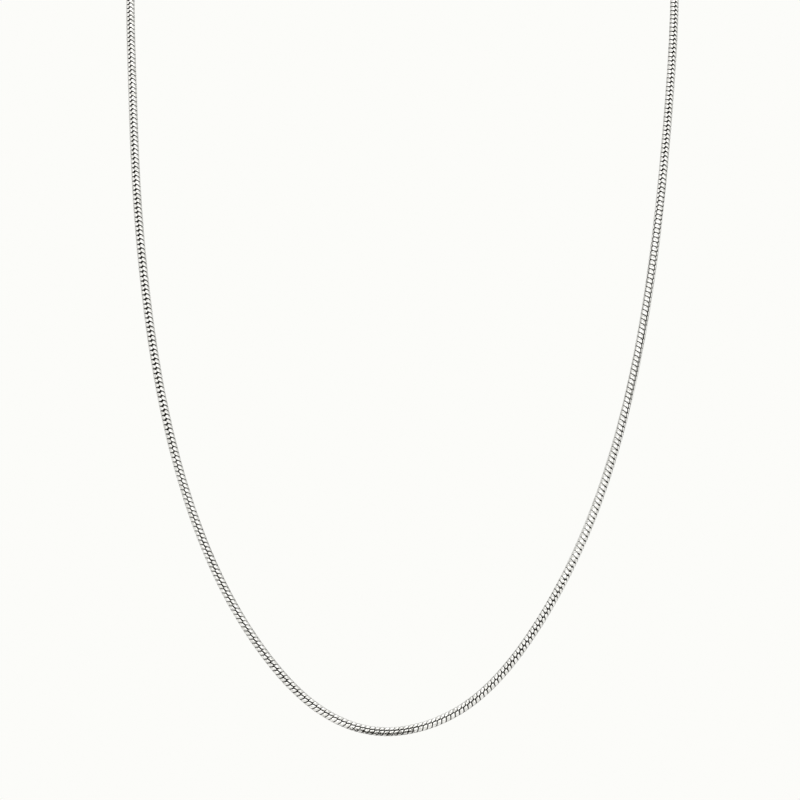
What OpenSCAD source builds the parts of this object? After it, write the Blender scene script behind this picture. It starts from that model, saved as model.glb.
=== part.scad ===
// Round snake chain necklace, as it hangs when worn: a closed loop that dips to a long U in front.
// Millimetres. +Z is up, +X is the wearer's left, and the front of the U faces -Y.
// The origin is the middle of the clasp, at the nape, where the loop hangs.

/* [Chain] */
// Diameter of the round chain
chain_d = 1.5; // [1.2:0.1:2.4]
// Flat sides round the plain tube that stands for the chain
chain_sides = 8; // [8:1:12]
// Rings of points along the plain tube
chain_rings = 80; // [60:1:80]

/* [End caps] */
// Wall of the cup that holds the chain's end
cap_wall = 0.3; // [0.2:0.05:0.5]
// Depth of the blind bore for the chain's end
cap_depth = 3; // [2:0.25:4]
// Thickness of the cup's closed end
cap_floor = 0.6; // [0.5:0.05:1.2]
// Gap all round the chain inside the bore
bore_gap = 0.08; // [0.05:0.01:0.15]
// Gap between the chain's end and the bottom of the bore
seat_gap = 0.1; // [0.05:0.05:0.3]
// Width of the raised band at the cup's mouth
band_w = 0.6; // [0.4:0.1:1]
// Height of the raised band over the cup's wall
band_h = 0.12; // [0.05:0.01:0.2]
// Bevel on the cup's edges
cap_bevel = 0.12; // [0.05:0.01:0.18]

/* [Eyes] */
// Thickness of the wire of the eye on each cap
eye_wire_d = 0.5; // [0.4:0.05:0.7]
// Room on each side of the clasp's wire inside an eye
eye_play = 0.25; // [0.15:0.05:0.4]

/* [Clasp] */
// Outer diameter of the round clasp
clasp_d = 6; // [5:0.25:9]
// Thickness of the clasp's wire
clasp_wire_d = 1; // [0.8:0.05:1.1]
// Gap where an eye pulls on the clasp's wire
pull_gap = 0.1; // [0.05:0.05:0.2]

/* [Hidden] */
$fn = 64;

// Radii of the clasp's and the eye's centre lines
clasp_r = (clasp_d - clasp_wire_d) / 2;
eye_hole_d = clasp_wire_d + 2 * eye_play;
eye_r = (eye_hole_d + eye_wire_d) / 2;
// The eye's hole ends one pull gap inside the clasp's wire
eye_x = clasp_r - clasp_wire_d / 2 - pull_gap + eye_hole_d / 2;

// The cup starts half a wire into the far side of its eye, so the two are one solid
cap_x = eye_x + eye_r;
cap_l = cap_floor + cap_depth;
bore_r = chain_d / 2 + bore_gap;
cap_r = bore_r + cap_wall;
chain_end_x = cap_x + cap_floor + seat_gap;
mouth_x = cap_x + cap_l;

// Straight lead of the chain out of its cap, to the route's second point
lead = 5;
// Middle of the space inside the loop, which one flat side of each ring faces
loop_middle = [0, -50, -85];

// Route of the chain's middle line, from the end cap on the +X side, down the front and up again.
// The curve runs smoothly past these points, and its ends lie in the bores of the caps.
ROUTE = [
    [chain_end_x, 0, 0], [mouth_x + lead, 0, 0],
    [23, -4.5, -1], [34, -15, -4.5], [42, -30, -11], [46, -45.5, -21.5], [47, -58.5, -35],
    [46.5, -67.5, -52], [44.9, -74, -69.5], [42.9, -79.5, -87.5], [40.2, -84, -105.5], [36.3, -88, -123],
    [30.6, -91, -140], [22.4, -93.5, -155.8], [11.6, -95, -169.3], [-2, -95.5, -173.8],
    [-12, -95.3, -170.8], [-20, -94.5, -164], [-28.7, -93, -151.6], [-35.4, -90.5, -136], [-40.1, -87, -118.5],
    [-43, -83, -100.5], [-44.9, -78, -82.5], [-45.8, -72.5, -64.5], [-46.9, -65.5, -47.5],
    [-46.5, -55, -31.5], [-44.5, -41, -18], [-39.5, -26, -8], [-31, -12.5, -2.5], [-21, -3.5, -0.5],
    [-mouth_x - lead, 0, 0], [-chain_end_x, 0, 0]
];

// The route with one more point past each end, which makes the curve start and stop on the ends
last = len(ROUTE) - 1;
guides = concat([2 * ROUTE[0] - ROUTE[1]], ROUTE, [2 * ROUTE[last] - ROUTE[last - 1]]);

function unit(v) = v / norm(v);

// Point on the smooth curve: four neighbouring guides blended by the cubic B-spline's weights
function blend(w, k) = w[0] * guides[k] + w[1] * guides[k + 1] + w[2] * guides[k + 2] + w[3] * guides[k + 3];
function weights(t) = [pow(1 - t, 3), 3 * pow(t, 3) - 6 * t * t + 4, 1 + 3 * t + 3 * t * t - 3 * pow(t, 3), pow(t, 3)] / 6;
function slopes(t) = [-pow(1 - t, 2), 3 * t * t - 4 * t, 1 + 2 * t - 3 * t * t, t * t] / 2;
function span(u) = min(floor(u), last - 1);
function route_point(u) = blend(weights(u - span(u)), span(u));
function route_way(u) = unit(blend(slopes(u - span(u)), span(u)));

// Corners of the tube's ring at u: a circle square to the route, its first corner towards the loop's middle
function ring_corners(u) =
    let (p = route_point(u), way = route_way(u), inward = loop_middle - p)
    let (a = unit(inward - (inward * way) * way), b = cross(way, a))
    [for (k = [0:chain_sides - 1]) p + chain_d / 2 * (cos(360 * k / chain_sides) * a + sin(360 * k / chain_sides) * b)];

// One long tube that stands for the chain's whole run of small links
module chain() {
    corners = [for (i = [0:chain_rings - 1]) each ring_corners(i * last / (chain_rings - 1))];
    tail = (chain_rings - 1) * chain_sides;
    sides = [for (i = [0:chain_rings - 2], k = [0:chain_sides - 1])
        let (next = (k + 1) % chain_sides, row = i * chain_sides)
        [row + k, row + chain_sides + k, row + chain_sides + next, row + next]];
    ends = [[for (k = [0:chain_sides - 1]) k], [for (k = [chain_sides - 1:-1:0]) tail + k]];
    color("silver") polyhedron(points = corners, faces = concat(sides, ends), convexity = 6);
}

// Cup for the chain's end, along +Z, closed at z = 0 and with a band round its open mouth
module cup() {
    band_r = cap_r + band_h;
    rotate_extrude() polygon([
        [0, 0], [cap_r - cap_bevel, 0], [cap_r, cap_bevel],
        [cap_r, cap_l - band_w], [band_r, cap_l - band_w + band_h],
        [band_r, cap_l - cap_bevel], [band_r - cap_bevel, cap_l],
        [bore_r, cap_l], [bore_r, cap_floor], [0, cap_floor]
    ]);
}

// Round wire bent into a ring about the Z axis
module wire_ring(ring_r, wire_d) {
    rotate_extrude() translate([ring_r, 0]) circle(d = wire_d, $fn = 32);
}

// Cup and its soldered eye, on the +X side
module end_cap() {
    translate([cap_x, 0, 0]) rotate([0, 90, 0]) cup();
    translate([eye_x, 0, 0]) wire_ring(eye_r, eye_wire_d);
}

module end_cap_right() {
    color("gainsboro") mirror([1, 0, 0]) end_cap();
}

module end_cap_left() {
    color("gainsboro") end_cap();
}

// Plain round clasp that stands upright through both eyes
module clasp() {
    color("lightgray") rotate([90, 0, 0]) wire_ring(clasp_r, clasp_wire_d);
}

chain();
end_cap_left();
end_cap_right();
clasp();
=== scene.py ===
import math

import bpy
import numpy as np
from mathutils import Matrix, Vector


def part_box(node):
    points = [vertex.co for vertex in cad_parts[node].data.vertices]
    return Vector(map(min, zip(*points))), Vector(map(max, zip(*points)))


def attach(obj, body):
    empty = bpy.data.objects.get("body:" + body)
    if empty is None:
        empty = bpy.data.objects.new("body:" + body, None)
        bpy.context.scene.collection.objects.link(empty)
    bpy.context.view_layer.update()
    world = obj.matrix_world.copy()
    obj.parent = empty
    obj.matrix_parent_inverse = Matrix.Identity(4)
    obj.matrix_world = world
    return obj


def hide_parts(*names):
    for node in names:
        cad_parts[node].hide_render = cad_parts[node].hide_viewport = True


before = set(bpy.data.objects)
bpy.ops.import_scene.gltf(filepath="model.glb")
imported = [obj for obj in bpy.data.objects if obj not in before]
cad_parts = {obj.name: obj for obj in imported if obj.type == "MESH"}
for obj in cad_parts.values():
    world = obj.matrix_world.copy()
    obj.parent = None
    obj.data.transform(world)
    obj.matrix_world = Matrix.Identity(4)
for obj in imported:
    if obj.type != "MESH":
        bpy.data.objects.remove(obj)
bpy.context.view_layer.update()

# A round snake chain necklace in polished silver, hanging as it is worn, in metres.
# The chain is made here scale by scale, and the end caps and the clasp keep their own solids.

# The chain's ends in the bores of the caps: its diameter, the bore's depth, the gap at its bottom and
# round the chain, the cup's closed end behind it, and the straight lead out of the cap
CHAIN_D = 0.0015
CAP_DEPTH = 0.003
SEAT_GAP = 0.0001
BORE_GAP = 0.00008
CAP_FLOOR = 0.0006
LEAD = 0.005
mouth_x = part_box("end_cap_left")[1][0]
end_x = mouth_x - CAP_DEPTH + SEAT_GAP

# Route of the chain's middle line, from the end cap on the +X side, down the front and up again.
# The curve runs smoothly past these points, and its ends lie in the bores of the caps.
ROUTE = [
    [end_x, 0, 0], [mouth_x + LEAD, 0, 0],
    [0.023, -0.0045, -0.001], [0.034, -0.015, -0.0045], [0.042, -0.03, -0.011],
    [0.046, -0.0455, -0.0215], [0.047, -0.0585, -0.035], [0.0465, -0.0675, -0.052],
    [0.0449, -0.074, -0.0695], [0.0429, -0.0795, -0.0875], [0.0402, -0.084, -0.1055],
    [0.0363, -0.088, -0.123], [0.0306, -0.091, -0.14], [0.0224, -0.0935, -0.1558],
    [0.0116, -0.095, -0.1693], [-0.002, -0.0955, -0.1738], [-0.012, -0.0953, -0.1708],
    [-0.02, -0.0945, -0.164], [-0.0287, -0.093, -0.1516], [-0.0354, -0.0905, -0.136],
    [-0.0401, -0.087, -0.1185], [-0.043, -0.083, -0.1005], [-0.0449, -0.078, -0.0825],
    [-0.0458, -0.0725, -0.0645], [-0.0469, -0.0655, -0.0475], [-0.0465, -0.055, -0.0315],
    [-0.0445, -0.041, -0.018], [-0.0395, -0.026, -0.008], [-0.031, -0.0125, -0.0025],
    [-0.021, -0.0035, -0.0005], [-mouth_x - LEAD, 0, 0], [-end_x, 0, 0]
]
# Spots worked out on the curve for each span between two of these points
SPOTS_PER_SPAN = 160

# How the four columns of scales turn about the chain on their way round, as seen in front:
# length along the chain from the +X cap in metres, and the turn of one border from the front in
# degrees
COLUMN_TURN = [
    (0.0, 105), (0.112, 97), (0.119, 90), (0.130, 84), (0.136, 80), (0.141, 68), (0.147, 48),
    (0.152, 37), (0.158, 33), (0.163, 32), (0.177, 30), (0.183, 26), (0.192, 29), (0.199, 34),
    (0.206, 35), (0.212, 9), (0.227, -3), (0.237, -9), (0.243, -17), (0.248, -22), (0.257, -22),
    (0.263, -17), (0.270, -7), (0.278, -2), (0.292, 1), (0.306, 4), (0.330, 4), (0.342, 7),
    (0.352, 9), (0.361, 13), (0.372, 20), (0.385, 16), (0.5, 16)
]
# How far to each side the mean is taken that eases this turn
TURN_EASE = 0.003

# How the links lie along the chain: length along it from the +X cap in metres, then how much the
# creases between columns, the strokes between links and the steps where the two meet show, as
# shares, the turn in degrees by which a scale leans into the next column, how much all three close on
# the U's inner side and on its outer side, how far a scale's edges fall from one border to the next
# before they step back, and how far the whole link tips to the inner side, both in pitches
LIE = [
    (0.0, 0.4, 0.9, 0.9, 20, 0, 0, 0.5, 0), (0.119, 0.4, 0.6, 0.9, 20, 0.3, 0, 0.5, 0),
    (0.130, 0.4, 0.5, 1, 24, 0.4, 0, 0.5, 0), (0.139, 0.4, 0.45, 1, 24, 0.3, 0, 0.5, -0.05),
    (0.146, 0.6, 0.3, 0.7, 18, 0, 0, 0.5, -0.12), (0.155, 0.8, 0.35, 0.5, 14, 0, 0, 0.45, -0.08),
    (0.163, 1, 0.6, 0.25, 10, 0.8, 0, 0.35, 0.08), (0.179, 0.9, 0.6, 0.25, 10, 0.8, 0, 0.3, 0.15),
    (0.186, 0.2, 0.45, 0.3, 24, 0.8, 0, 0.12, 0.33), (0.200, 0, 0.2, 0.25, 30, 0.8, 0, 0.1, 0.33),
    (0.207, 0, 0, 0.3, 30, 0.7, 0, 0.15, 0.25), (0.214, 0.7, 0.3, 0.8, 15, 0.2, 0, 0.45, 0.12),
    (0.226, 0.9, 0.3, 0.8, 13, 0, 0, 0.5, 0), (0.237, 0.8, 0.25, 0.5, 8, 0, 0, 0.5, 0),
    (0.249, 1, 0.2, 0.2, 10, 0, 0, 0.3, 0.3), (0.260, 1, 0.2, 0.3, 12, 0.1, 0, 0.3, 0.3),
    (0.271, 1, 0.45, 0.8, 12, 0.1, 0, 0.45, 0.25), (0.283, 1, 0.5, 0.5, 12, 0.3, 0.4, 0.5, 0.25),
    (0.295, 0.75, 0.9, 0.9, 5, 0.4, 1, 0.6, 0.05), (0.306, 0.8, 0.9, 0.7, 12, 0.5, 0.8, 0.5, 0.12),
    (0.318, 0.8, 1, 1, 24, 0.5, 0.4, 0.35, 0.1), (0.354, 0.6, 0.9, 1, 24, 0.5, 0.4, 0.35, 0.1),
    (0.370, 0.3, 0.65, 1, 24, 0.6, 0.5, 0.45, 0.05), (0.392, 0.3, 0.65, 1, 24, 0.6, 0.5, 0.5, 0.03),
    (0.5, 0.4, 0.9, 0.9, 22, 0, 0, 0.5, 0)
]

# Painted shade on the outer side near the lowest point, which faces down there: a dark reflection
# put into the scales' colour. Where it starts and ends along the chain, and in turn from the front in
# degrees, and how softly it fades at each end of both
UNDERSIDE_SHADE_ALONG = (0.2465, 0.257)
UNDERSIDE_SHADE_TURN = (5, 52)
UNDERSIDE_SHADE_FADE = (0.0006, 4)

# One link: its length along the chain, and its columns of scales, each a quarter of a turn wide
LINK_PITCH = 0.0008
COLUMNS = 4
COLUMN_WIDE = 90
RADIUS = CHAIN_D / 2

# Gap between links in pitches, along a column where it shows least and most, and at the step back
LINE_GAP = (0.04, 0.24)
STEP_GAP = (0.04, 0.8)
# How much more the gaps close inside a bend, and open outside it, than the bend alone would do
PLAY = (2, 4)
# Crease between two columns, where it shows least and most: its width in degrees, and its depth as a
# share of the full depth, which the steps have. Then the same share for the strokes between links
CREASE_GAP = (2, 17)
CREASE_DROP = (0.35, 1)
LINE_DROP = (0.6, 1)
# Radii as shares of the chain's: a scale's rim and the point that closes it underneath,
# and the crests and valleys of the links' dark inner walls
RIM = 0.86
UNDER = 0.78
INNER_CREST = 0.87
INNER_VALLEY = 0.83
# How far a scale may sit high or low, and tilt, as shares of the radius, and the seed of the draw
# that gives each scale its own
LIFT = 0.006
TILT = 0.02
SEED = 11

# A scale's grid has this many columns of points, and five rows. Its edges roll over within ROLL, a
# share of the scale. Then the shares that each column has of the creases beside it, that each row has
# of the gap above it, and that each column has of the step in the upper edge
ACROSS = 7
ROLL = 0.08
BY_CREASE = np.array([1, 0.2, 0.05, 0, 0.05, 0.2, 1])
BY_GAP = np.array([1, 0.15, 0, 0, 0])
BY_STEP = np.array([1, 1, 0.7, 0, 0, 0, 0.2])


def unit(v):
    """Vectors divided by their own lengths."""
    return v / np.linalg.norm(v, axis=-1, keepdims=True)


def between(least_and_most, share):
    """The least, plus a share of the way to the most."""
    return least_and_most[0] + (least_and_most[1] - least_and_most[0]) * share


def smooth_route(points):
    """Uniform cubic B-spline past the points, with one more point added past each end so that the
    curve starts and stops on them: each spot is four neighbouring points in the weights
    (1-t)^3, 3t^3-6t^2+4, 1+3t+3t^2-3t^3 and t^3, over 6."""
    p = np.array(points)
    p = np.vstack([2 * p[0] - p[1], p, 2 * p[-1] - p[-2]])
    u = np.linspace(0, len(points) - 1, SPOTS_PER_SPAN * (len(points) - 1) + 1)
    k = np.minimum(u.astype(int), len(points) - 2)
    t = (u - k)[:, None]
    w = (1 - t) ** 3, 3 * t ** 3 - 6 * t ** 2 + 4, 1 + 3 * t + 3 * t ** 2 - 3 * t ** 3, t ** 3
    return (w[0] * p[k] + w[1] * p[k + 1] + w[2] * p[k + 2] + w[3] * p[k + 3]) / 6


# Tables along the route: its spots, the length along it, which way it runs, the way to the front
# square to that, and its bend, which is how fast the way changes
FRONT = np.array([0, -1, 0])
ROUTE_LINE = smooth_route(ROUTE)
ROUTE_ALONG = np.concatenate([[0], np.cumsum(np.linalg.norm(np.diff(ROUTE_LINE, axis=0), axis=1))])
ROUTE_WAY = unit(np.gradient(ROUTE_LINE, axis=0))
ROUTE_FRONT = unit(FRONT - (ROUTE_WAY @ FRONT)[:, None] * ROUTE_WAY)
ROUTE_BEND = np.gradient(ROUTE_WAY, ROUTE_ALONG, axis=0)
CHAIN_LENGTH = ROUTE_ALONG[-1]


def on_route(table, along):
    """Values of a route table at lengths along the chain, in straight steps between its rows."""
    return np.stack([np.interp(along, ROUTE_ALONG, table[:, k]) for k in range(3)], axis=-1)


def outwards(along, turn):
    """Unit way out of the chain at a length along it, turned about it from the front:
    cos(turn) * front + sin(turn) * side, with side = front x way."""
    way = unit(on_route(ROUTE_WAY, along))
    front = unit(on_route(ROUTE_FRONT, along))
    turn = turn[..., None]
    return np.cos(turn) * front + np.sin(turn) * np.cross(front, way)


def place(along, turn, out):
    """Point so far out from the chain's middle, at a length along it and turned about it:
    the route's spot + out * the way out."""
    return on_route(ROUTE_LINE, along) + out[..., None] * outwards(along, turn)


def column_turn(along, samples=13):
    """Turn of the first border between columns, in radians: straight between the rows of its table,
    and then the mean of samples over a short stretch."""
    rows = np.array(COLUMN_TURN)
    near = np.linspace(-TURN_EASE, TURN_EASE, samples)
    return np.radians(np.mean([np.interp(along + d, rows[:, 0], rows[:, 1]) for d in near], axis=0))


def lie(along):
    """The columns of the table of how the links lie, straight between its rows."""
    rows = np.array(LIE)
    return [np.interp(along, rows[:, 0], column) for column in rows[:, 1:].T]


def underside_shade(along, turn):
    """1 on the painted shade low on the outer side and 0 off it, with soft ends: the product of a soft
    step at each of its ends, 1 / (1 + e^(distance outside the end / fade))."""
    def soft(value, ends, fade):
        return 1 / (1 + np.exp((ends[0] - value) / fade)) / (1 + np.exp((value - ends[1]) / fade))
    around = np.mod(np.degrees(turn) + 180, 360) - 180
    return soft(along, UNDERSIDE_SHADE_ALONG, UNDERSIDE_SHADE_FADE[0]) * soft(around, UNDERSIDE_SHADE_TURN, UNDERSIDE_SHADE_FADE[1])


def mesh_object(name, points, faces, attributes=None):
    """A smooth mesh object from an array of points, arrays of faces and named values at the points."""
    mesh = bpy.data.meshes.new(name)
    mesh.from_pydata(points.reshape(-1, 3), [], [face for block in faces for face in block.tolist()])
    mesh.update()
    mesh.polygons.foreach_set("use_smooth", np.ones(len(mesh.polygons), bool))
    for label, values in (attributes or {}).items():
        layer = mesh.attributes.new(label, "FLOAT", "POINT")
        layer.data.foreach_set("value", np.ascontiguousarray(values, np.float32).ravel())
    piece = bpy.data.objects.new(name, mesh)
    bpy.context.scene.collection.objects.link(piece)
    return piece


def wall_faces(rings, sides):
    """Quads of a tube whose points lie ring after ring: corner j and the next one round, on one ring
    and on the next ring."""
    i, j = np.meshgrid(np.arange(rings - 1), np.arange(sides), indexing="ij")
    near, far = i.ravel() * sides, (i.ravel() + 1) * sides
    j = j.ravel()
    n = (j + 1) % sides
    return np.stack([near + j, near + n, far + n, far + j], axis=1)


def room_across(base, first, inner, outer):
    """At even turns across each scale's column, what the bend adds to the gaps, and the share of gaps
    and creases that is left where the links close. The bend stretches the chain's skin by
    -radius * (bend . way out), and PLAY times that goes into the gaps. The links close by the size of
    the sine of the turn, times their share on the U's inner side or on its outer side."""
    turn = first[:, None] + np.linspace(0, np.radians(COLUMN_WIDE), ACROSS)
    way_out = outwards(np.repeat(base[:, None], ACROSS, 1), turn)
    stretch = -RADIUS * (on_route(ROUTE_BEND, base)[:, None] * way_out).sum(axis=-1)
    sideways = np.sin(turn)
    closed = np.where(sideways < 0, -inner[:, None] * sideways, outer[:, None] * sideways)
    return stretch * np.where(stretch < 0, *PLAY), 1 - np.clip(closed, 0, 1)


def scale_shape(crease, stroke, step, lean, fall, opening, loose):
    """Scales on a grid, c from the crease on the left to the one on the right, as a share of the
    column, and v from the upper edge to the lower one. The turn is
    lean * (v - 0.5) + COLUMN_WIDE * c, so both creases lean one way. The edges step back by fall over
    the lean and then fall again, less the gaps, which are wide at the step. A scale is a low pillow:
    its drop runs from 0 on the crest to 1 in the grooves and to less in the creases, and the share of
    painted shade in its grooves does too. Crease, stroke and step say how much each shows. Opening is
    what a bend adds to the gaps, and loose is the share of all three that is left where they close."""
    shift = (lean / COLUMN_WIDE)[:, None]
    crease_share = crease[:, None] * loose
    line_share = stroke[:, None] * loose
    inset = between(CREASE_GAP, crease_share) / 2 / COLUMN_WIDE
    half = np.concatenate([0 * shift, np.minimum(shift / 2, ROLL), shift, 0 * shift + 0.5], axis=1)
    c = np.clip(np.concatenate([half, 1 - half[:, 2::-1]], axis=1), inset[:, :1], 1 - inset[:, -1:])
    v = np.array([0, ROLL, 0.5, 1 - ROLL, 1])

    def edge(c):
        """Upper edge: back by fall over the lean, then forth by fall to the next border."""
        return fall[:, None] * np.where(c < shift, 0.5 - c / shift, -0.5 + (c - shift) / (1 - shift))

    def both_edges(in_line, in_step):
        """Values along the upper and the lower edge, which has its step at its other end."""
        more = in_step - in_line
        return in_line + more * BY_STEP, in_line + more * BY_STEP[::-1]

    def groove_share(crease_share, line_share):
        """1 in the grooves at the steps, and the given shares in the creases and along the lines."""
        upper, lower = both_edges(line_share, loose ** 2)
        edges = upper[..., None] * BY_GAP + lower[..., None] * BY_GAP[::-1]
        return 1 - (1 - (crease_share * BY_CREASE)[..., None]) * (1 - np.clip(edges, 0, 1))

    line_gap = np.maximum(between(LINE_GAP, line_share) + opening, LINE_GAP[0])
    step_gap = between(STEP_GAP, step[:, None] * loose ** 2)
    upper_gap, lower_gap = both_edges(line_gap, step_gap)
    top = edge(c) + upper_gap / 2
    bottom = 1 - edge(1 - c) - lower_gap / 2
    along = top[..., None] + (bottom - top)[..., None] * v
    turn = lean[:, None, None] * (v - 0.5) + COLUMN_WIDE * c[..., None]
    drop = groove_share(between(CREASE_DROP, crease_share), between(LINE_DROP, line_share))
    # The last value is each point's share of the painted shade in the grooves
    return c, v, turn, along, drop, groove_share(crease_share, line_share)


def scale_faces(columns, rows):
    """Faces of one scale: quads over its grid, and a fan from its rim to the point underneath,
    which comes after the grid's last point."""
    i, j = np.meshgrid(np.arange(columns - 1), np.arange(rows - 1), indexing="ij")
    k = (i * rows + j).ravel()
    over = np.stack([k, k + rows, k + rows + 1, k + 1], axis=1)
    left = np.arange(rows)
    low = np.arange(1, columns) * rows + rows - 1
    right = (columns - 1) * rows + np.arange(rows - 2, -1, -1)
    high = np.arange(columns - 2, 0, -1) * rows
    rim = np.concatenate([left, low, right, high])
    under = np.stack([rim, np.roll(rim, -1), np.full(len(rim), columns * rows)], axis=1)
    return over, under


def make_links():
    """All scales of all links. A point's turn is its column's border + its own turn on the scale. Its
    length along the chain is the link's middle + pitch * (its own length down the scale
    + tip * sin(turn)). It lies out from the chain's middle by
    radius * (1 - (1 - RIM) * drop + (1 - drop) * (LIFT * lift + TILT * tilt)), where lift and tilt
    are drawn for each scale, because pressed links sit a little high, low or tilted."""
    count = int(CHAIN_LENGTH / LINK_PITCH) - 1
    start = (CHAIN_LENGTH - (count + 1) * LINK_PITCH) / 2
    link, column = np.meshgrid(np.arange(count), np.arange(COLUMNS), indexing="ij")
    base = start + LINK_PITCH * (link.ravel() + 0.5)
    first = column_turn(base) + np.radians(COLUMN_WIDE * column.ravel())
    crease, stroke, step, lean, inner, outer, fall, tip = lie(base)
    opening, loose = room_across(base, first, inner, outer)
    c, v, across, down, drop, groove_shade = scale_shape(crease, stroke, step, lean, fall, opening, loose)

    scales = len(base)
    turn = first[:, None, None] + np.radians(across)
    down = down + tip[:, None, None] * np.sin(turn)
    along = base[:, None, None] + LINK_PITCH * down
    lift, tilt_across, tilt_down = np.random.default_rng(SEED).uniform(-1, 1, (3, scales, 1, 1))
    out = 1 - (1 - RIM) * drop + (1 - drop) * LIFT * lift
    out = out + (1 - drop) * TILT * (tilt_across * (c[..., None] - 0.5) + tilt_down * (v - 0.5))
    over = place(along, turn, RADIUS * out).reshape(scales, -1, 3)
    under = place(base + LINK_PITCH * down.mean(axis=(1, 2)), turn.mean(axis=(1, 2)),
                  np.full(scales, UNDER * RADIUS))
    points = np.concatenate([over, under[:, None]], axis=1)

    # Painted shade in the grooves: each point's share, full at the point underneath
    groove_shade_depth = np.concatenate([groove_shade.reshape(scales, -1), np.ones((scales, 1))], axis=1)
    shade = np.broadcast_to(lift.reshape(-1, 1), groove_shade_depth.shape)
    # Painted shade low on the U's outer side, a dark reflection
    underside_shade_values = underside_shade(along, turn).reshape(scales, -1)
    underside_shade_values = np.concatenate([underside_shade_values, underside_shade_values[:, -1:]], axis=1)
    first_point = points.shape[1] * np.arange(scales)[:, None, None]
    blocks = scale_faces(ACROSS, len(v))
    faces = [(block + first_point).reshape(-1, block.shape[1]) for block in blocks]
    values = {"groove_shade_depth": groove_shade_depth, "scale_shade": shade, "underside_shade": underside_shade_values}
    return mesh_object("snake_links", points, faces, values)


def make_insides(sides=12):
    """Inner walls of the links, one behind another: a closed tube swept along the route, whose
    radius swings between its crest and its valley twice in each link."""
    rings = 2 * int(CHAIN_LENGTH / LINK_PITCH)
    along, turn = np.meshgrid(np.linspace(0, CHAIN_LENGTH, rings),
                              np.arange(sides) * 2 * np.pi / sides, indexing="ij")
    out = RADIUS * np.where(np.arange(rings) % 2, INNER_CREST, INNER_VALLEY)
    points = place(along, turn, np.broadcast_to(out[:, None], along.shape))
    ends = np.stack([np.arange(sides)[::-1], (rings - 1) * sides + np.arange(sides)])
    return mesh_object("link_insides", points, [wall_faces(rings, sides), ends])


# Polished silver of the chain, and the silver of its caps and clasp, painted greyer than the chain's as
# painted shade. Near-black painted shade in the grooves and on the caps, which on the clasp is tarnish,
# the painted shade low on the U's outer side, and near-black painted shade on the metal deep between
# the links
SILVER = (0.8, 0.795, 0.775)
SILVER_SHADED = (0.7, 0.695, 0.67)
CAP_SILVER_IN_SHADE = (0.64, 0.635, 0.62)
CAP_SHADED = (0.48, 0.477, 0.46)
SHADE_AND_TARNISH = (0.025, 0.0235, 0.019)
UNDERSIDE_SHADE = (0.025, 0.022, 0.016)
INSIDES_SHADE = (0.008, 0.0075, 0.0065)
INSIDES_SHADE_LIGHTER = (0.03, 0.028, 0.024)

# Roughness of the metal deep between the links, of the painted shade on the links and caps, and of the
# thinner tarnish on the clasp
GROOVE_ROUGH = 0.55
PAINTED_SHADE_ROUGH = 0.45
WIRE_TARNISH_ROUGH = 0.4

# How noise mottles each finish and each painted shade: lumps to the metre, the noise's values at which
# the mottling starts and is full, and the values that it runs from and to. The hazes are roughness
GROOVE_SHADE_EDGE = (1500, 0.35, 0.65, -0.08, 0.08)
LINK_HAZE = (700, 0.3, 0.7, 0.14, 0.24)
CAP_HAZE = (1400, 0.35, 0.7, 0.1, 0.2)
WIRE_HAZE = (1400, 0.35, 0.7, 0.09, 0.2)
CLOUDS = (900, 0.35, 0.65, 0, 1)
INSIDES_SHADE_MOTTLE = (2500, 0.4, 0.7, 0, 1)
CAP_SHADE_MOTTLE = (6000, 0.3, 0.6, 0.5, 1)
WIRE_DIRT = (2500, 0.35, 0.7, 0.05, 0.75)

# Depths in a scale's grooves at which its painted shade starts and is full. Then the spots of the
# painted shade low on the outer side in lumps to the metre, how much they weigh against that shade
# itself, and the sums where it starts and is full
GROOVE_SHADE_AT = (0.35, 0.95)
UNDERSIDE_SHADE_SPOTS = 3500
UNDERSIDE_SPOTS_WEIGH = 3
UNDERSIDE_SHADE_AT = (1.65, 2.5)

# Fine wear on the links, turned grain on the caps and drawing marks on the clasp: lumps to the metre,
# and how strong and, in metres, how high their relief is. Then the noise's values and what the grain
# and the drawing marks add to the roughness between them
WEAR = 9000
WEAR_RELIEF = (0.12, 0.00002)
GRAIN = 40000
GRAIN_RELIEF = (0.25, 0.000004)
MARKS = 30000
MARKS_RELIEF = (0.2, 0.000004)
MARKS_HAZE = (0.3, 0.7, -0.03, 0.05)

# The end caps: width of the band at the mouth, length of the cup from the mouth to its closed end, and
# the bore's radius. How far painted shade reaches before and past the band's back edge and the cup's
# closed end, where the eye is soldered. In the bore it starts between these distances from the closed
# end, and it ends between these distances out from the bore's wall
BAND_WIDE = 0.0006
CUP_LONG = CAP_DEPTH + CAP_FLOOR
BORE_R = RADIUS + BORE_GAP
BAND_SHADE = (0.0003, 0.0001)
EYE_SHADE = (0.0004, 0.0002)
BORE_SHADE_FROM = (0.0005, 0.0008)
BORE_SHADE_TO = (0.00001, 0.00006)

# The clasp: radius of its wire's middle line, how far in from there its tarnish fades in, the half
# height of the spot where an eye rubs it, and how much its drawing marks are drawn out along it
CLASP_R = 0.0025
CLASP_DIRT = 0.0004
RUBBED = 0.0005
DRAWN = 0.04


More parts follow.
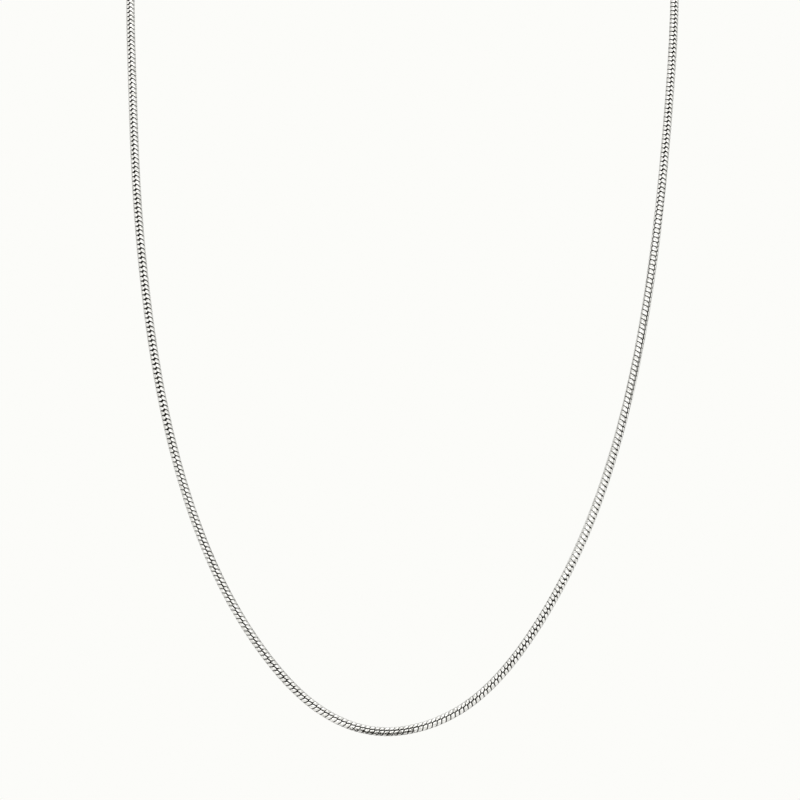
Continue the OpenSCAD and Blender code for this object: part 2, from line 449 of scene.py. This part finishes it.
class Paint:
    """A new material with its shader, and short ways to add nodes and wires."""

    def __init__(self, name):
        self.material = bpy.data.materials.new(name)
        self.material.use_nodes = True
        self.tree = self.material.node_tree
        self.shader = self.tree.nodes["Principled BSDF"]
        self.here = self.node("TexCoord").outputs["Object"]

    def node(self, kind, **settings):
        """A new shader node, with its settings."""
        new = self.tree.nodes.new("ShaderNode" + kind)
        for label, value in settings.items():
            setattr(new, label, value)
        return new

    def join(self, source, target):
        """A wire from one node's output to another's input."""
        self.tree.links.new(source, target)

    def fix(self, socket, value):
        """What is the same all over, on the shader's own socket."""
        self.shader.inputs[socket].default_value = value

    def drive(self, socket, source):
        """What changes over the surface, wired into the shader."""
        self.join(source, self.shader.inputs[socket])

    def attribute(self, label):
        """A value that the mesh holds at its points."""
        return self.node("Attribute", attribute_name=label).outputs["Fac"]

    def noise(self, scale, detail=3, at=None):
        """Soft noise, with its lumps 1 / scale metres across, at the piece's own places or others."""
        new = self.node("TexNoise")
        new.inputs["Scale"].default_value = scale
        new.inputs["Detail"].default_value = detail
        self.join(self.here if at is None else at, new.inputs["Vector"])
        return new.outputs["Fac"]

    def ramp(self, value, low, high, to_low, to_high):
        """A value taken from one range to another, eased at both ends."""
        new = self.node("MapRange", interpolation_type="SMOOTHSTEP")
        ends = {"From Min": low, "From Max": high, "To Min": to_low, "To Max": to_high}
        for label, number in ends.items():
            new.inputs[label].default_value = number
        self.join(value, new.inputs["Value"])
        return new.outputs["Result"]

    def mottle(self, scale, low, high, to_low, to_high):
        """Soft noise, taken from one range of its values to another range."""
        return self.ramp(self.noise(scale), low, high, to_low, to_high)

    def hump(self, value, rise, fall):
        """0, up to 1 over the range rise, and back to 0 over the range fall."""
        return self.times(self.ramp(value, *rise, 0, 1), self.ramp(value, *fall, 1, 0))

    def mix(self, share, a, b):
        """Two colours mixed by a share; each is a colour or another node's output."""
        new = self.node("Mix", data_type="RGBA")
        self.join(share, new.inputs["Factor"])
        for label, colour in (("A", a), ("B", b)):
            socket = [s for s in new.inputs if s.name == label and s.type == "RGBA"][0]
            if isinstance(colour, tuple):
                socket.default_value = (*colour, 1)
            else:
                self.join(colour, socket)
        return [s for s in new.outputs if s.type == "RGBA"][0]

    def vector(self, operation, a, b=(0, 0, 0)):
        """Outputs of one step of reckoning with a vector and a fixed one."""
        new = self.node("VectorMath", operation=operation)
        self.join(a, new.inputs[0])
        new.inputs[1].default_value = b
        return new.outputs

    def reach(self, axes):
        """Distance from the origin along some axes: the length of the place, times 0 or 1 on each."""
        kept = self.vector("MULTIPLY", self.here, axes)["Vector"]
        return self.vector("LENGTH", kept)["Value"]

    def spot(self, x, y, z):
        """A place for a noise, from three values."""
        new = self.node("CombineXYZ")
        for socket, value in zip(new.inputs, (x, y, z)):
            self.join(value, socket)
        return new.outputs["Vector"]

    def combine(self, operation, a, b):
        """One value from two; each is a number or another node's output."""
        new = self.node("Math", operation=operation)
        for socket, value in zip(new.inputs, (a, b)):
            if isinstance(value, (int, float)):
                socket.default_value = value
            else:
                self.join(value, socket)
        return new.outputs["Value"]

    def plus(self, a, b):
        """The sum of two values."""
        return self.combine("ADD", a, b)

    def times(self, a, b):
        """The product of two values."""
        return self.combine("MULTIPLY", a, b)

    def larger(self, a, b):
        """The larger of two values."""
        return self.combine("MAXIMUM", a, b)

    def bump(self, height, strength, distance):
        """Fine relief that is too small for the mesh."""
        new = self.node("Bump")
        new.inputs["Strength"].default_value = strength
        new.inputs["Distance"].default_value = distance
        self.join(height, new.inputs["Height"])
        self.drive("Normal", new.outputs["Normal"])


def link_silver():
    """Polished silver scales: bright crests whose tone differs from scale to scale, a warm near-black
    painted shade that gathers in the grooves towards the rims, painted shade low on the U's outer side
    in ragged patches, and a haze with fine wear marks."""
    p = Paint("link_silver")
    p.fix("Metallic", 1)
    crest = p.mix(p.ramp(p.attribute("scale_shade"), -1, 1, 0, 1), SILVER, SILVER_SHADED)
    # Painted shade: near-black in the grooves, deepest at the rims, with a ragged edge
    depth = p.plus(p.attribute("groove_shade_depth"), p.mottle(*GROOVE_SHADE_EDGE))
    groove_shade = p.ramp(depth, *GROOVE_SHADE_AT, 0, 1)
    # Painted shade low on the U's outer side, a dark reflection in ragged patches
    underside_shade_sum = p.plus(p.attribute("underside_shade"), p.times(p.noise(UNDERSIDE_SHADE_SPOTS), UNDERSIDE_SPOTS_WEIGH))
    patches = p.ramp(underside_shade_sum, *UNDERSIDE_SHADE_AT, 0, 1)
    p.drive("Base Color", p.mix(groove_shade, p.mix(patches, crest, UNDERSIDE_SHADE), SHADE_AND_TARNISH))
    p.drive("Roughness", p.larger(p.mottle(*LINK_HAZE), p.times(groove_shade, PAINTED_SHADE_ROUGH)))
    p.bump(p.noise(WEAR, detail=2), *WEAR_RELIEF)
    return p.material


def insides_painted_shade():
    """Near-black painted shade on the metal deep between the links, a little lighter in patches of
    noise.
    """
    p = Paint("insides_painted_shade")
    p.fix("Metallic", 1)
    p.fix("Roughness", GROOVE_ROUGH)
    # Painted shade: near-black, a little lighter in patches of noise
    p.drive("Base Color", p.mix(p.mottle(*INSIDES_SHADE_MOTTLE), INSIDES_SHADE, INSIDES_SHADE_LIGHTER))
    return p.material


def clouded_silver(p, darkening, darkening_rough, haze, marks, relief):
    """What the caps and the clasp share: silver clouded between two tones, both painted greyer than the
    chain's as painted shade, with near-black over it, which is painted shade on the caps and a
    tarnished tint on the clasp. Its roughness is a haze that fine marks add to, or the near-black's own
    where that is more."""
    p.fix("Metallic", 1)
    # Silver painted greyer than the chain's, as painted shade
    crest = p.mix(p.mottle(*CLOUDS), CAP_SILVER_IN_SHADE, CAP_SHADED)
    p.drive("Base Color", p.mix(darkening, crest, SHADE_AND_TARNISH))
    marked = p.plus(p.mottle(*haze), p.ramp(marks, *MARKS_HAZE))
    p.drive("Roughness", p.larger(marked, p.times(darkening, darkening_rough)))
    p.bump(marks, *relief)


def turned_silver():
    """Polished silver of the end caps, painted greyer than the chain's as painted shade: a fine turned
    grain in rings about the cup, a haze of touch, and near-black painted shade behind the band, in the
    bore and where the eye is soldered to the closed end."""
    p = Paint("turned_silver")
    far = p.reach((1, 0, 0))
    radius = p.reach((0, 1, 1))
    band = mouth_x - BAND_WIDE
    back = mouth_x - CUP_LONG
    # Painted shade: near-black behind the band, at the eye's joint and in the bore
    at_band = p.hump(far, (band - BAND_SHADE[0], band), (band, band + BAND_SHADE[1]))
    at_eye = p.hump(far, (back - EYE_SHADE[0], back), (back, back + EYE_SHADE[1]))
    past_floor = p.ramp(far, back + BORE_SHADE_FROM[0], back + BORE_SHADE_FROM[1], 0, 1)
    near_bore = p.ramp(radius, BORE_R + BORE_SHADE_TO[0], BORE_R + BORE_SHADE_TO[1], 1, 0)
    places = p.larger(p.times(past_floor, near_bore), p.larger(at_band, at_eye))
    darkening = p.times(places, p.mottle(*CAP_SHADE_MOTTLE))
    grain = p.noise(GRAIN, detail=2, at=p.spot(far, radius, radius))
    clouded_silver(p, darkening, PAINTED_SHADE_ROUGH, CAP_HAZE, grain, GRAIN_RELIEF)
    return p.material


def wire_silver():
    """Polished silver wire of the clasp, painted greyer than the chain's as painted shade: faint
    drawing marks along the wire, a thin haze, and a tarnished tint on its inner side, rubbed bright
    where the two eyes hang."""
    p = Paint("wire_silver")
    ring = p.reach((1, 0, 1))
    across = p.reach((0, 1, 0))
    level = p.reach((0, 0, 1))
    unrubbed = p.ramp(level, RUBBED, 2 * RUBBED, 0, 1)
    inner = p.times(p.ramp(ring, CLASP_R - CLASP_DIRT, CLASP_R, 1, 0), unrubbed)
    darkening = p.times(inner, p.mottle(*WIRE_DIRT))
    marks = p.noise(MARKS, detail=2, at=p.spot(ring, across, p.times(level, DRAWN)))
    clouded_silver(p, darkening, WIRE_TARNISH_ROUGH, WIRE_HAZE, marks, MARKS_RELIEF)
    return p.material


links = make_links()
links.data.materials.append(link_silver())
# The links' inner walls carry near-black painted shade, for the depths between the links
insides = make_insides()
insides.data.materials.append(insides_painted_shade())
for piece in (links, insides):
    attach(piece, "root")
    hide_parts("chain")

cap_metal = turned_silver()
clasp_metal = wire_silver()
for name, metal in (("end_cap_left", cap_metal), ("end_cap_right", cap_metal), ("clasp", clasp_metal)):
    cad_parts[name].material_slots[0].material = metal

# Camera: level, in front of the U, at the photo's framing. The middle of its view is given at the
# depth of the U's lowest point, and SEES is the nearest and the furthest that it sees
PHOTO_PX = 800
MM_PER_PX_AT_FRONT = 0.163
SENSOR_MM = 36
CAMERA_AWAY = 0.6
VIEW_MIDDLE = (-0.0005, -0.0955, -0.1185)
SEES = (0.01, 50)

# Stage: a bowl that glows and so lights the necklace, though it is no lamp. Its wall behind glows
# white in the middle of the view, and round that glows a soft grey ring, which the polished chain
# shows as a thin grey line along its edges. Its floor glows light grey near the necklace. In metres:
# the floor's height, radii of the pinhole at its middle, of its flat part and of the wall, the wall's
# height over the floor, and the radii between which the floor's colours turn into the wall's
FLOOR_Z = -0.3
PINHOLE_R = 0.0001
FLOOR_FLAT = 1.2
WALL_R = 2.2
WALL_TOP = 2.6
PALE_TO_R = 0.3
WHITE_FROM_R = 0.85
FLOOR_GLOW = (0.8, 0.8, 0.79)
WALL_GLOW = (0.973, 0.973, 0.947)
RING_GLOW = (0.78, 0.78, 0.77)
FLOOR_PAINT = (0.25, 0.25, 0.245)
WALL_PAINT = (0, 0, 0)
# The necklace's middle, from which the ring is seen and at which the lights are aimed
MIDDLE = (0, -0.06, -0.1)
# Cosines of the ring's outer and inner edges, off the way from the necklace to the wall behind it
RING_OUTER = (0.3, 0.65)
RING_INNER = (0.92, 0.965)

# Soft square lights: name, place, side length and brightness. Then the colour and the brightness of
# the plain light from all round
LIGHTS = [
    ("front_left", (-0.75, -1.35, 0.15), 1.1, 1.2),
    ("front_right", (0.75, -1.35, 0.15), 1.1, 1.2),
    ("top", (0, -0.1, 1.5), 1.6, 0.9)
]
ROUND_LIGHT = (1, 1, 0.995, 1)
ROUND_GLOW = 0.9


def make_camera():
    """Camera straight in front of the middle of the view. Its lens is the sensor's width times its
    distance, over the width that the photo shows there."""
    data = bpy.data.cameras.new("camera")
    data.sensor_width = SENSOR_MM
    data.lens = SENSOR_MM * CAMERA_AWAY / (PHOTO_PX * MM_PER_PX_AT_FRONT / 1000)
    data.clip_start, data.clip_end = SEES
    camera = bpy.data.objects.new("camera", data)
    bpy.context.scene.collection.objects.link(camera)
    camera.location = (VIEW_MIDDLE[0], VIEW_MIDDLE[1] - CAMERA_AWAY, VIEW_MIDDLE[2])
    camera.rotation_euler = (math.radians(90), 0, 0)
    bpy.context.scene.camera = camera


def make_bowl(sides=96, steps=16):
    """Plain pale floor that curves up into a wall all round: a profile of radius and height turned
    about the middle, flat, then a quarter circle, then straight up. Its faces are a tube's with
    their corners the other way round, because it is seen from inside."""
    bend = np.linspace(0, np.pi / 2, steps + 1)[1:]
    rise = WALL_R - FLOOR_FLAT
    r = np.concatenate([[PINHOLE_R, FLOOR_FLAT], FLOOR_FLAT + rise * np.sin(bend), [WALL_R]])
    z = np.concatenate([[0, 0], rise * (1 - np.cos(bend)), [WALL_TOP]]) + FLOOR_Z
    turn = np.arange(sides) * 2 * np.pi / sides
    points = np.stack([r[:, None] * np.cos(turn), r[:, None] * np.sin(turn),
                       np.broadcast_to(z[:, None], (len(r), sides))], axis=-1)
    faces = wall_faces(len(r), sides)[:, [0, 3, 2, 1]]
    return mesh_object("floor", points, [faces])


def stage_glow():
    """Glow of the bowl, which lights the necklace: light grey below the necklace, white further out,
    with a soft grey ring on the wall behind, and a little grey paint on the floor near the middle. The
    share of the ring goes by the cosine between the way from the necklace to a spot on the wall and the
    way straight back."""
    p = Paint("glowing_floor")
    p.fix("Roughness", 1)
    p.fix("Specular IOR Level", 0)
    p.fix("Emission Strength", 1)
    away = p.vector("SUBTRACT", p.here, MIDDLE)["Vector"]
    split = p.node("SeparateXYZ")
    p.join(p.vector("NORMALIZE", away)["Vector"], split.inputs["Vector"])
    ring = p.hump(split.outputs["Y"], RING_OUTER, RING_INNER)
    far_out = p.ramp(p.reach((1, 1, 0)), PALE_TO_R, WHITE_FROM_R, 0, 1)
    plain = p.mix(far_out, FLOOR_GLOW, WALL_GLOW)
    # The bowl glows and lights the necklace: light grey near it, white further out, a grey ring behind
    p.drive("Emission Color", p.mix(ring, plain, RING_GLOW))
    p.drive("Base Color", p.mix(far_out, FLOOR_PAINT, WALL_PAINT))
    return p.material


def soft_light(name, place_at, side, glow):
    """Square soft light, aimed at the necklace's middle. Its power is its brightness, or glow, times
    pi and its area."""
    data = bpy.data.lights.new(name, "AREA")
    data.size = side
    data.energy = glow * math.pi * side ** 2
    lamp = bpy.data.objects.new(name, data)
    bpy.context.scene.collection.objects.link(lamp)
    lamp.location = place_at
    away = np.array(place_at) - np.array(MIDDLE)
    yaw = math.atan2(away[1], away[0]) + math.pi / 2
    lamp.rotation_euler = (math.atan2(math.hypot(away[0], away[1]), away[2]), 0, yaw)


def light_all_round():
    """Plain light from all round, and colours shown as they are."""
    world = bpy.data.worlds.new("studio")
    world.use_nodes = True
    background = world.node_tree.nodes["Background"]
    background.inputs["Color"].default_value = ROUND_LIGHT
    background.inputs["Strength"].default_value = ROUND_GLOW
    bpy.context.scene.world = world
    bpy.context.scene.view_settings.view_transform = "Standard"


make_camera()
floor = make_bowl()
floor.data.materials.append(stage_glow())
for light in LIGHTS:
    soft_light(*light)
light_all_round()
